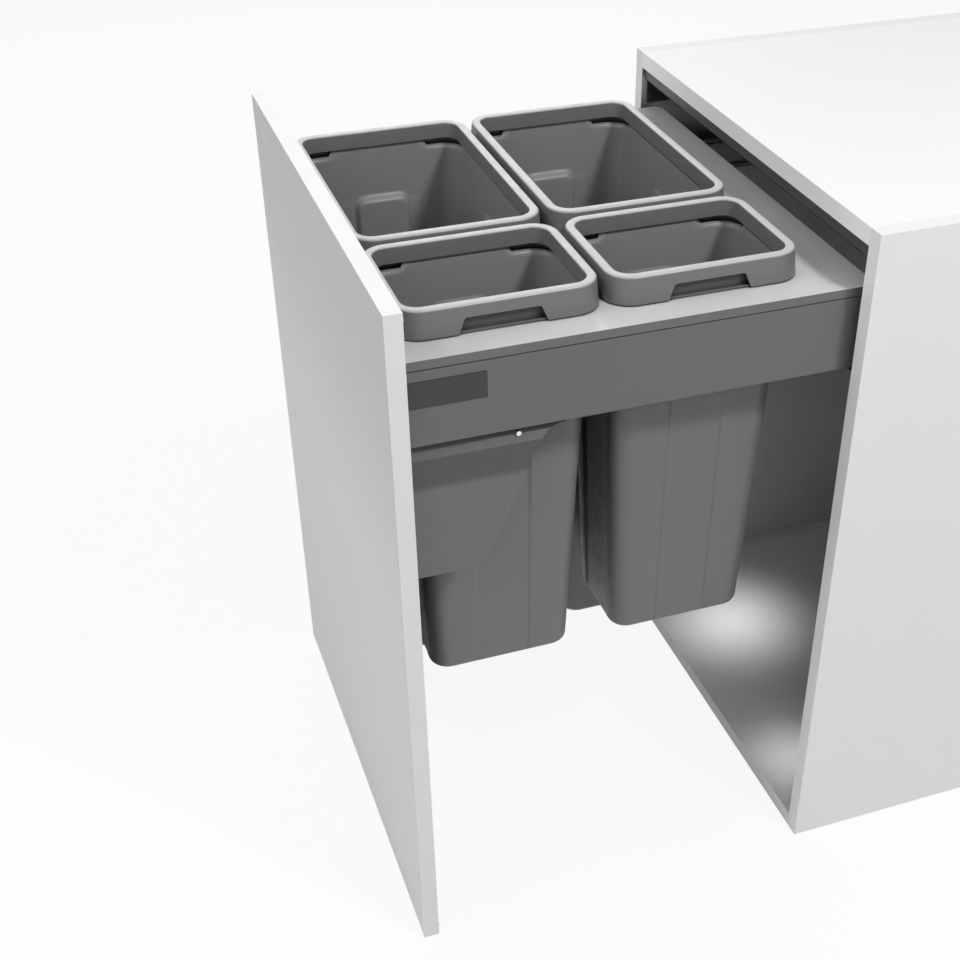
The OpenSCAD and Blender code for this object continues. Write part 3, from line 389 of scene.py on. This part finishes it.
def arc(start, end, steps, first=0):
    """Cosine and sine of the angles from start to end, in degrees."""
    angles = [math.radians(start + (end - start) * i / steps) for i in range(first, steps + 1)]
    return [(math.cos(a), math.sin(a)) for a in angles]


def even_steps(low, high, count):
    """Heights in even steps after low, up to high."""
    return [low + (high - low) * i / count for i in range(1, count + 1)]


def bridge(rows):
    """Faces between closed rings of vertex numbers that follow each other."""
    faces = []
    for a, b in zip(rows, rows[1:]):
        for i in range(len(a)):
            j = (i + 1) % len(a)
            faces.append((a[i], a[j], b[j], b[i]))
    return faces


# ---------------------------------------------------------------- sizes, in millimetres
MOULDED_SHARP = 40  # degrees between faces from which an edge shows as sharp
FRAME_Z, TOP_Z = 752.5, 782.5  # the cover frame's top and the collars' top
ROWS = {"front": -358.0, "rear": -145.0}  # middles, from the cabinet's front
SIDES = {"left": (-82.5, 311.0), "right": (158.0, 160.0)}  # middle and width of the collars
COLLAR_L, COLLAR_R = 210.0, 30.0
BODY_INSET = 8.5  # from a collar's outline to the bin's wall
BIN_R, WALL, FLOOR_T, FILLET = COLLAR_R - BODY_INSET, 2.2, 3.0, 8.0
BIN_DROP = {"left": 526.0, "right": 421.0}
DRAFT, END_DRAFT = math.tan(math.radians(1.7)), math.tan(math.radians(2.3))
RIM_Z, RIM_T = FRAME_Z + 0.3, 2.8
UP_Z = TOP_Z - 3.3  # the upstands' top, under the collar's roof
PANEL_W, PANEL_TOP, PANEL_R, PANEL_DEPTH, PANEL_SOFT = 60.0, FRAME_Z - 41.5, 10.0, 1.5, 1.2
DEEP_DEPTH, DEEP_SOFT, DEEP_LOWER = 7.0, 4.5, 12.5  # the large bins' far panel
PANEL_REACH, PANEL_BLEND = 34.0, 3.0  # half the wall that holds the panel, and its blend into the corner
PANEL_SAMPLES = [0, 8, 16, 22, 25, 27, 28.5, 29.5, 30.5, 31.5, 33, PANEL_REACH]
PLAIN_BELOW, LONG_STEPS = 12.0, 8  # the first plain loop under the frame, and the loops down the walls
FINE_BELOW, FINE_ABOVE, FINE_STEP = 16.0, 5.0, 1.5  # loops lie close together across the panels' top edge,
FINE_OUTSIDE, FINE_INSIDE = 13, 24  # so many of them on each skin
CORNER_STEPS, CORNER_ROOM = 9, 2.0
NOTCH_SIDE, NOTCH_END, NOTCH_SLANT = 46.0, 32.0, 8.0
ROLL_R, ROLL_LIP, ROLL_STEP = 5.0, 1.6, 0.2  # the rolled edge inside each notch
GROOVE, GROOVE_Z = 1.6, 760.2  # the recess behind the collar's inner skirt

# Rings of a bin, as height over a base and inset from the outer wall or from the recess.
FOOT_RINGS = [(1.6, 20.0), (1.5, 16.5), (0.3, 14.5), (0.0, 13.0), (0.0, 10.5)]
UNDER_RIM = [(0.0, -0.4), (0.0, -5.3), (0.35, -5.7)]
OVER_RIM = [(-0.45, -5.7), (-0.1, -5.5), (0.0, -5.1)]
UPSTAND_ROOT = [(0.0, -0.7, -4.6), (0.1, -0.15, -4.5)]  # with the inset in the notches
UPSTAND_EDGE = [(-0.4, 0.0), (-0.1, 0.1), (0.0, 0.4)]
GROOVE_END = [(1.2, 0.0), (0.3, 0.2), (0.0, GROOVE - 0.1), (-0.6, GROOVE)]
FLOOR_RINGS = [(0.0, 11.0), (0.3, 12.0), (0.3, 15.0), (0.0, 16.0)]

# The collar's section, and the finger cut-out at its foot.
COLLAR_FOOT_Z, COLLAR_DRAFT, BAND_W, OUT_EDGE_R, IN_EDGE_R = FRAME_Z + 1.0, 2.5, 10.5, 3.0, 2.0
COLLAR_FOOT, COLLAR_FOOT_IN = [(-0.45, 0.0), (-0.13, 0.13), (-0.03, 0.45), (-1.15, 12.0)], [(-2.25, 0.4), (-1.9, 0.0)]
COLLAR_WALL, ROOF_T, ROOF_SLANT = 2.2, 3.0, 0.8
SKIRT_H, SKIRT_T, SKIRT_EDGE = 18.5, 2.0, 0.4
COLLAR_EDGE, COLLAR_EDGE_ANGLE = 0.35, 60
GRIP_HALF, GRIP_LEAN, GRIP_H, GRIP_R, GRIP_DEPTH = 44.5, 5.5, 16.5, 4.0, 5.0
GRIP_FOOT = [(0.35, -2.0), (0.0, 0.2)]


# ---------------------------------------------------------------- bins
def smoothstep(low, high, x):
    t = min(1.0, max(0.0, (x - low) / (high - low)))
    return t * t * (3 - 2 * t)


def in_panel(u, z, grow, lower):
    """How far a point lies inside a pressed panel's outline, with its round top corners; negative outside."""
    half, top, r = PANEL_W / 2 + grow, PANEL_TOP - lower + grow, PANEL_R + grow
    du, dz = abs(u) - (half - r), z - (top - r)
    if du > 0 and dz > 0:
        return r - math.hypot(du, dz)
    return r - max(du, dz)


def pressed(u, z, inset, face, depth, end):
    """How deep a skin is pressed in at a place; end is where the wall's corner begins."""
    soft, lower = (PANEL_SOFT, 0.0) if depth < DEEP_DEPTH else (DEEP_SOFT, DEEP_LOWER)
    grow = 0.0 if face > 0 else WALL
    share = smoothstep(-soft, soft, in_panel(u, z, grow, lower)) * smoothstep(0.0, PANEL_BLEND, end - abs(u))
    return max(0.0, depth * share - (inset - grow))


def wall_samples(half, notch):
    """Places along one wall, close together where its panel and its notches have their edges."""
    keep = half - notch
    us = PANEL_SAMPLES + [keep - 0.7, keep, keep + NOTCH_SLANT, half - BIN_R]
    return sorted({-u for u in us} | set(us))


def notched(u, half, notch):
    """1 where the upstand is cut down to the rim, 0 where it stands."""
    return min(1.0, max(0.0, (abs(u) - (half - notch)) / NOTCH_SLANT))


def squeezed(u, full, end):
    """A place along a wall that is narrower here: it ends at end, and at full under the rim."""
    keep = min(PANEL_REACH, end - CORNER_ROOM)
    if abs(u) <= PANEL_REACH:
        return u * keep / PANEL_REACH
    return math.copysign(keep + (abs(u) - PANEL_REACH) * (end - keep) / (full - PANEL_REACH), u)


def bin_loop(w, l, z, inset, face, depths, cut):
    """One loop round the bin at a height: face is 1 for the outer skin, -1 for the inner one, 0 for plain rings;
    cut is the height and inset that the loop takes in the notches, if it takes others there."""
    cut_z, cut_inset = cut or (z, inset)
    in_x, in_y = DRAFT * (FRAME_Z - z), END_DRAFT * (FRAME_Z - z)
    r = BIN_R - min(cut_inset, BIN_R / 2)
    walls = [(w / 2, l / 2, in_x, in_y, NOTCH_SIDE), (l / 2, w / 2, in_y, in_x, NOTCH_END)] * 2
    pts = []
    for k, (across, along, lean, lean_along, notch) in enumerate(walls):
        turn = math.radians(90 * k)
        ca, sa = math.cos(turn), math.sin(turn)
        end = along - lean_along - BIN_R - max(0.0, inset - BIN_R / 2)
        for u in wall_samples(along, notch):
            v = squeezed(u, along - BIN_R, end)
            share = notched(u, along, notch) if cut else 0.0
            push = pressed(v, z, inset, face, depths[k], end) if face else 0.0
            x = across - lean - (inset + (cut_inset - inset) * share) - push
            pts.append((x * ca - v * sa, x * sa + v * ca, z + (cut_z - z) * share))
        cx, cy = across - lean - cut_inset - r, along - lean_along - cut_inset - r
        for c, s in arc(0, 90, CORNER_STEPS)[1:-1]:
            x, y = cx + r * c, cy + r * s
            pts.append((x * ca - y * sa, x * sa + y * ca, cut_z))
    return pts


def bin_levels(bottom):
    """Height, inset from the outer wall, skin, and height and inset in the notches, from the foot to the floor;
    and the number of the first level that belongs to the inside."""
    rim, top, low = RIM_Z, RIM_Z + RIM_T, bottom + FLOOR_T
    fine, groove, r = PANEL_TOP - FINE_BELOW, WALL - GROOVE, FILLET - WALL
    levels = [(bottom + up, inset, 0) for up, inset in FOOT_RINGS]
    levels += [(bottom + FILLET * (1 - c), FILLET * (1 - s), 1) for c, s in arc(0, 90, 8)]
    outer = even_steps(bottom + FILLET, fine, LONG_STEPS)
    outer += [fine + FINE_STEP * i for i in range(1, FINE_OUTSIDE + 1)]
    levels += [(z, 0.0, 1) for z in outer + [FRAME_Z - PLAIN_BELOW, rim - 1.2, rim - 0.3]]
    levels += [(rim + up, inset, 0) for up, inset in UNDER_RIM]
    levels += [(top + up, inset, 0) for up, inset in OVER_RIM]
    levels += [(top + up, inset, 0, top, cut_inset) for up, inset, cut_inset in UPSTAND_ROOT]

    upstand = [(top + 0.8, 0.0), (UP_Z - 2, 0.0)] + [(UP_Z + up, inset) for up, inset in UPSTAND_EDGE]
    upstand += [(UP_Z + up, groove - inset) for up, inset in reversed(UPSTAND_EDGE)]
    for i, (z, inset) in enumerate(upstand):
        levels.append((z, inset, 0, top, WALL - ROLL_R - ROLL_LIP + ROLL_STEP * i))
    first_inner = len(levels)
    down = [(UP_Z - 4, groove)] + [(GROOVE_Z + up, groove + inset) for up, inset in GROOVE_END] + [(rim - 1.0, WALL)]
    for (z, inset), (c, s) in zip(down, arc(0, 90, len(down), first=1)):
        levels.append((z, inset, 0, top - ROLL_R * (1 - c), WALL - ROLL_R * (1 - s)))

    inner = [rim - 4, FRAME_Z - PLAIN_BELOW]
    inner += [PANEL_TOP + WALL + FINE_ABOVE - FINE_STEP * i for i in range(FINE_INSIDE)]
    inner += even_steps(inner[-1], low + r, LONG_STEPS)
    levels += [(z, WALL, -1) for z in inner]
    levels += [(low + r * (1 - s), WALL + r * (1 - c), -1) for c, s in arc(0, 90, 7, first=1)]
    levels += [(low + up, inset, -1) for up, inset in FLOOR_RINGS]
    return levels, first_inner


def moulded_bin(row, side):
    """A bin with drafted walls, pressed panels, a rim, notched upstands and a ribbed foot."""
    (cx, collar_w), cy = SIDES[side], FRONT_Y + ROWS[row]
    w, l = collar_w - 2 * BODY_INSET, COLLAR_L - 2 * BODY_INSET
    depths = [PANEL_DEPTH, PANEL_DEPTH, DEEP_DEPTH if side == "left" else PANEL_DEPTH, PANEL_DEPTH]
    levels, first_inner = bin_levels(FRAME_Z - BIN_DROP[side])
    verts, rows = [], []
    for z, inset, face, *cut in levels:
        loop = bin_loop(w, l, z, inset, face, depths, cut)
        rows.append(list(range(len(verts), len(verts) + len(loop))))
        verts += [(cx + x, cy + y, zz) for x, y, zz in loop]
    faces = bridge(rows)
    inside = range(first_inner * len(rows[0]), len(faces))
    faces += [tuple(reversed(rows[0])), tuple(rows[-1])]
    moulded(f"bin_{row}_{side}", verts, faces, [M["bin_plastic"], M["bin_inside_lit"]],
            [*inside, len(faces) - 1])


# ---------------------------------------------------------------- collars
def outline_points(hw, hl, r, steps):
    """Points round a rectangle with round corners, anticlockwise from the +X side, as (x, y, outward x, outward y)."""
    pts = []
    for k, (sx, sy) in enumerate([(1, 1), (-1, 1), (-1, -1), (1, -1)]):
        cx, cy = sx * (hw - r), sy * (hl - r)
        pts += [(cx + r * c, cy + r * s, c, s) for c, s in arc(90 * k, 90 * k + 90, steps)]
    return pts


def collar_profile():
    """The collar's section across from the outer foot, inwards negative, and up."""
    end, back = -COLLAR_DRAFT - BAND_W, -COLLAR_WALL - COLLAR_DRAFT
    roof, skirt = TOP_Z - ROOF_T, TOP_Z - SKIRT_H
    pts = [(u, COLLAR_FOOT_Z + up) for u, up in COLLAR_FOOT]
    pts += [(-COLLAR_DRAFT + OUT_EDGE_R * (c - 1), TOP_Z + OUT_EDGE_R * (s - 1)) for c, s in arc(0, 90, 8)]
    pts += [(end + IN_EDGE_R * (1 + c), TOP_Z + IN_EDGE_R * (s - 1)) for c, s in arc(90, 180, 8)]
    pts += [(end, skirt + SKIRT_EDGE), (end + SKIRT_EDGE, skirt), (end + SKIRT_T - SKIRT_EDGE, skirt),
            (end + SKIRT_T, skirt + SKIRT_EDGE), (end + SKIRT_T, roof - ROOF_SLANT),
            (end + SKIRT_T + ROOF_SLANT, roof), (back - ROOF_SLANT, roof), (back, roof - ROOF_SLANT)]
    return pts + [(u, COLLAR_FOOT_Z + up) for u, up in COLLAR_FOOT_IN]


def grip_cutter(x, y):
    """The finger cut-out's shape, through the collar's outer wall."""
    lean = math.degrees(math.atan2(GRIP_LEAN, GRIP_H))
    cy, cz = GRIP_HALF - GRIP_LEAN - GRIP_R, RIM_Z + GRIP_H - GRIP_R
    outline = [(GRIP_HALF + out, RIM_Z + up) for out, up in GRIP_FOOT]
    outline += [(cy + GRIP_R * c, cz + GRIP_R * s) for c, s in arc(lean, 90, 6)]
    outline += [(-u, z) for u, z in reversed(outline)]
    n = len(outline)
    verts = [(x + dx, y + u, z) for dx in (-GRIP_DEPTH, GRIP_DEPTH) for u, z in outline]
    faces = [tuple(range(n))[::-1], tuple(range(n, 2 * n))]
    faces += [(i, (i + 1) % n, n + (i + 1) % n, n + i) for i in range(n)]
    return solid("cutter", verts, faces)


def moulded_collar(row, side):
    """A collar with a rounded top, an inner skirt and the finger cut-out in its outer wall."""
    (cx, w), cy = SIDES[side], FRONT_Y + ROWS[row]
    profile = collar_profile()
    verts, rows = [], []
    for x, y, nx, ny in outline_points(w / 2, COLLAR_L / 2, COLLAR_R, 14):
        rows.append(list(range(len(verts), len(verts) + len(profile))))
        verts += [(cx + x + nx * u, cy + y + ny * u, z) for u, z in profile]
    obj = moulded(f"collar_{row}_{side}", verts, bridge(rows + [rows[0]]), [M["collar_plastic"]])
    grip = grip_cutter(cx + (w / 2 if side == "right" else -w / 2), cy)
    cut = obj.modifiers.new("grip", "BOOLEAN")
    cut.object = grip
    cut.operation = "DIFFERENCE"
    cut.solver = "EXACT"
    apply_modifiers(obj)
    bpy.data.objects.remove(grip)
    smooth(obj, MOULDED_SHARP)
    soften(obj, COLLAR_EDGE, COLLAR_EDGE_ANGLE)


for row in ROWS:
    for side in SIDES:
        moulded_bin(row, side)
for row in ROWS:
    for side in SIDES:
        moulded_collar(row, side)


# ---------------------------------------------------------------- stage, light and camera
WHITE = (1.0, 1.0, 1.0)
SKY_UP, SKY_LEVEL = (0.42, 0.42, 0.422), (0.13, 0.13, 0.131)
FLOOR_HALF, FLOOR_Z, FLOOR_COLOUR = 12, -0.0005, (0.82, 0.82, 0.82)
SHOWN_WHITE = 0.9  # the floor's plain white in the picture; the rest takes the shadows


def seen(tree):
    """1 for the rays that show the background: camera, glossy and transmission rays."""
    path = tree.nodes.new("ShaderNodeLightPath")
    out = path.outputs["Is Camera Ray"]
    for other in ("Is Glossy Ray", "Is Transmission Ray"):
        either = tree.nodes.new("ShaderNodeMath")
        either.operation = "MAXIMUM"
        tree.links.new(out, either.inputs[0])
        tree.links.new(path.outputs[other], either.inputs[1])
        out = either.outputs[0]
    return out


def stage_mat(name, colour):
    """A pale surface that takes shadows, and shows as plain white where nothing shades it."""
    mat = bpy.data.materials.new(name)
    mat.use_nodes = True
    t = mat.node_tree
    t.nodes.clear()
    out = t.nodes.new("ShaderNodeOutputMaterial")
    mix = t.nodes.new("ShaderNodeMixShader")
    diffuse = t.nodes.new("ShaderNodeBsdfDiffuse")
    glow = t.nodes.new("ShaderNodeEmission")
    diffuse.inputs["Color"].default_value = (*colour, 1)
    glow.inputs["Color"].default_value = (*WHITE, 1)
    glow.inputs["Strength"].default_value = 1.0
    part = t.nodes.new("ShaderNodeMath")
    part.operation = "MULTIPLY"
    part.inputs[1].default_value = SHOWN_WHITE
    t.links.new(seen(t), part.inputs[0])
    t.links.new(part.outputs[0], mix.inputs[0])
    t.links.new(diffuse.outputs[0], mix.inputs[1])
    t.links.new(glow.outputs[0], mix.inputs[2])
    t.links.new(mix.outputs[0], out.inputs["Surface"])
    return mat


floor_mesh = bpy.data.meshes.new("floor")
floor_mesh.from_pydata([(x * FLOOR_HALF, y * FLOOR_HALF, 0) for x, y in ((-1, -1), (1, -1), (1, 1), (-1, 1))], [],
                       [(0, 1, 2, 3)])
floor = bpy.data.objects.new("floor", floor_mesh)
floor.location.z = FLOOR_Z
scene.collection.objects.link(floor)
floor_mesh.materials.append(stage_mat("floor", FLOOR_COLOUR))

world = bpy.data.worlds.new("studio")
scene.world = world
world.use_nodes = True
wt = world.node_tree
bg = wt.nodes["Background"]
bg.inputs["Strength"].default_value = 1.0
way = wt.nodes.new("ShaderNodeSeparateXYZ")
wt.links.new(wt.nodes.new("ShaderNodeTexCoord").outputs["Generated"], way.inputs[0])
sky = wt.nodes.new("ShaderNodeMix")
shown = wt.nodes.new("ShaderNodeMix")
for mix, low, high in ((sky, SKY_LEVEL, SKY_UP), (shown, SKY_LEVEL, WHITE)):
    mix.data_type = "RGBA"
    mix.inputs[6].default_value = (*low, 1)
    mix.inputs[7].default_value = (*high, 1)
wt.links.new(way.outputs["Z"], sky.inputs[0])
wt.links.new(sky.outputs[2], shown.inputs[6])
wt.links.new(seen(wt), shown.inputs[0])
wt.links.new(shown.outputs[2], bg.inputs["Color"])


def area(name, place, aim, width, height, watts, spread=180):
    data = bpy.data.lights.new(name, "AREA")
    data.shape = "RECTANGLE"
    data.size, data.size_y = width, height
    data.energy = watts
    data.spread = math.radians(spread)
    obj = bpy.data.objects.new(name, data)
    scene.collection.objects.link(obj)
    obj.location = place
    obj.rotation_euler = (Vector(aim) - Vector(place)).to_track_quat("-Z", "Y").to_euler()


area("key", (2.0, 0.45, 3.0), (0.0, -0.4, 0.6), 0.4, 0.4, watts=55)
area("right", (2.4, -2.0, 2.4), (0.0, -0.3, 0.5), 1.8, 1.8, watts=13)
area("front", (0.2, -3.0, 2.9), (0.0, -0.4, 0.5), 1.6, 1.6, watts=31)
area("far", (-3.3, -0.2, 2.3), (0.0, -0.4, 0.77), 2.8, 1.8, watts=36)
# The light patches on the cabinet's floor, from small lamps above them.
area("glow", (-0.10, -0.18, 0.25), (-0.10, -0.18, 0.02), 0.08, 0.08, watts=0.05, spread=60)
area("glow_near", (0.19, -0.23, 0.20), (0.19, -0.23, 0.02), 0.06, 0.06, watts=0.012, spread=50)

# The camera that was fitted to the photo: its place counts from the cabinet's front, PX and PY are the picture's
# point on the optical axis.
CAM_PLACE = Vector((1413.68, -744.06 + FRONT_Y, 1402.05)) * MM
AZ, EL, ROLL = (math.radians(v) for v in (69.4, 35.5, 0.56))
PICTURE, F_PX, PX, PY = 960, 1472.79, 558.22, 530.55
SENSOR, CLIP_START = 36.0, 0.05
back = Vector((math.sin(AZ) * math.cos(EL), -math.cos(AZ) * math.cos(EL), math.sin(EL)))
right = Vector((0, 0, 1)).cross(back).normalized()
up = back.cross(right)
right, up = math.cos(ROLL) * right + math.sin(ROLL) * up, -math.sin(ROLL) * right + math.cos(ROLL) * up
cam_data = bpy.data.cameras.new("camera")
cam = bpy.data.objects.new("camera", cam_data)
scene.collection.objects.link(cam)
cam.matrix_world = Matrix.Translation(CAM_PLACE) @ Matrix((right, up, back)).transposed().to_4x4()
cam_data.sensor_width = SENSOR
cam_data.lens = F_PX / PICTURE * SENSOR
cam_data.shift_x = (PICTURE / 2 - PX) / PICTURE
cam_data.shift_y = (PY - PICTURE / 2) / PICTURE
cam_data.clip_start = CLIP_START
scene.camera = cam
scene.view_settings.view_transform = "Standard"
